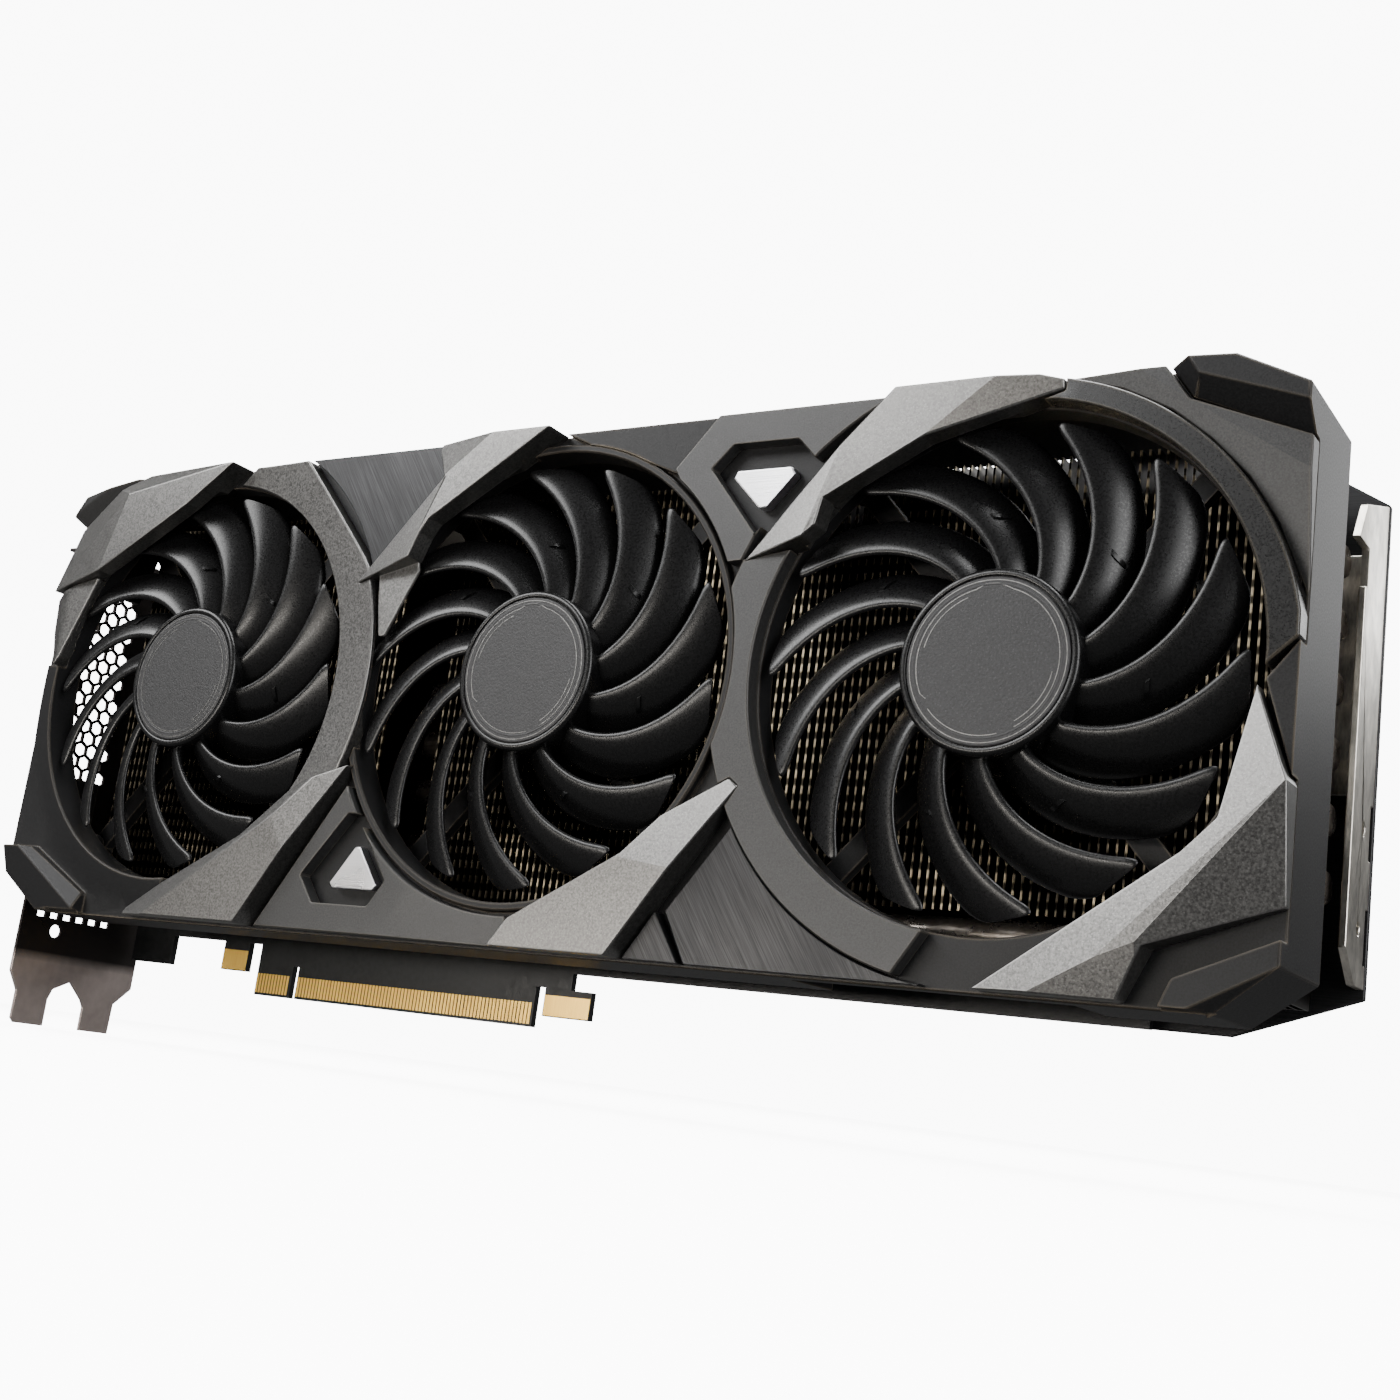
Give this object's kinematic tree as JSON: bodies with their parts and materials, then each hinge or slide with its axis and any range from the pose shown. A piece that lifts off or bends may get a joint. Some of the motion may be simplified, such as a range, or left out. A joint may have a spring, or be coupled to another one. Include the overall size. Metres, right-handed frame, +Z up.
{
  "type": "graphics card",
  "caption": "Long dual-slot-bracket graphics card with axial fans in a faceted dark shroud, fin stacks on heat pipes, board with edge connector, backplate and stiffener.",
  "frame": {"origin": "centre of the key notch of the slot connector, at the connector's bottom edge, in the middle of the board's thickness", "axes": "+X along the card away from the I/O bracket, +Y from the fans towards the backplate, +Z up out of the slot"},
  "size_m": [0.3156, 0.057, 0.1315],
  "materials": {
    "black_plastic": "fine satin grain",
    "grey_trim": "metallic grey paint, satin",
    "dark_trim": "dark grey paint, satin",
    "gloss_crescent": "semi-gloss",
    "brushed_panel": "brushed at a slant, dark",
    "silver_badge": "satin silver",
    "fan_plastic": "satin black",
    "hub_cap": "grained label",
    "magnet": "sintered",
    "bearing_brass": "turned",
    "stator": "enamelled copper windings",
    "fins": "bright sheared fins",
    "nickel": "nickel plated",
    "copper": "nickel plated copper",
    "plate_aluminium": "die cast, dark",
    "board": "black solder mask",
    "gold": "gold plated",
    "chip": "moulded epoxy",
    "pad": "soft silicone",
    "choke": "pressed ferrite",
    "socket_plastic": "moulded nylon",
    "backplate_paint": "brushed black",
    "steel": "stamped",
    "bright_plate": "bright",
    "bracket_steel": "dull nickel",
    "screw_steel": "machined"
  },
  "bodies": {
    "card": {"shroud_shell": "black_plastic", "ring_left": "grey_trim", "ring_right_upper": "gloss_crescent", "ring_right_lower": "dark_trim", "trim_left_upper": "grey_trim", "trim_left_lower": "grey_trim", "trim_middle_upper": "grey_trim", "trim_middle_lower": "grey_trim", "trim_right_upper": "grey_trim", "trim_right_lower": "grey_trim", "trim_right_side": "dark_trim", "panel_upper": "brushed_panel", "panel_lower": "brushed_panel", "badge_plate_upper": "dark_trim", "badge_plate_lower": "dark_trim", "badge_upper": "silver_badge", "badge_lower": "silver_badge", "fin_stack_left": "fins", "fin_stack_right": "fins", "heat_pipes": "nickel", "cold_plate": "copper", "mid_plate": "plate_aluminium", "circuit_board": "board", "edge_contacts": "gold", "graphics_processor": "chip", "memory_chips": "chip", "thermal_pads": "pad", "power_stages": "chip", "chokes": "choke", "capacitors": "nickel", "fan_headers": "socket_plastic", "power_connectors": "socket_plastic", "backplate": "backplate_paint", "retention_frame": "steel", "end_plate": "bright_plate", "io_bracket": "bracket_steel", "display_ports": "steel", "hdmi_port": "steel", "screws": "screw_steel", "fan_left_bearing": "bearing_brass", "fan_left_stator": "stator", "fan_left_frame": "black_plastic", "fan_middle_bearing": "bearing_brass", "fan_middle_stator": "stator", "fan_middle_frame": "black_plastic", "fan_right_bearing": "bearing_brass", "fan_right_stator": "stator", "fan_right_frame": "black_plastic"},
    "fan_left": {"fan_left_rotor": "fan_plastic", "fan_left_hub_cap": "hub_cap", "fan_left_magnet_ring": "magnet", "fan_left_shaft": "screw_steel"},
    "fan_middle": {"fan_middle_rotor": "fan_plastic", "fan_middle_hub_cap": "hub_cap", "fan_middle_magnet_ring": "magnet", "fan_middle_shaft": "screw_steel"},
    "fan_right": {"fan_right_rotor": "fan_plastic", "fan_right_hub_cap": "hub_cap", "fan_right_magnet_ring": "magnet", "fan_right_shaft": "screw_steel"}
  },
  "joints": [
    {"name": "fan_left_spin", "type": "hinge", "parent": "card", "child": "fan_left", "pos_m": [-0.0045, -0.04, 0.0672], "axis": [0, -1, 0], "continuous": true},
    {"name": "fan_middle_spin", "type": "hinge", "parent": "card", "child": "fan_middle", "pos_m": [0.0939, -0.04, 0.0672], "axis": [0, -1, 0], "continuous": true},
    {"name": "fan_right_spin", "type": "hinge", "parent": "card", "child": "fan_right", "pos_m": [0.1923, -0.04, 0.0672], "axis": [0, -1, 0], "continuous": true}
  ]
}
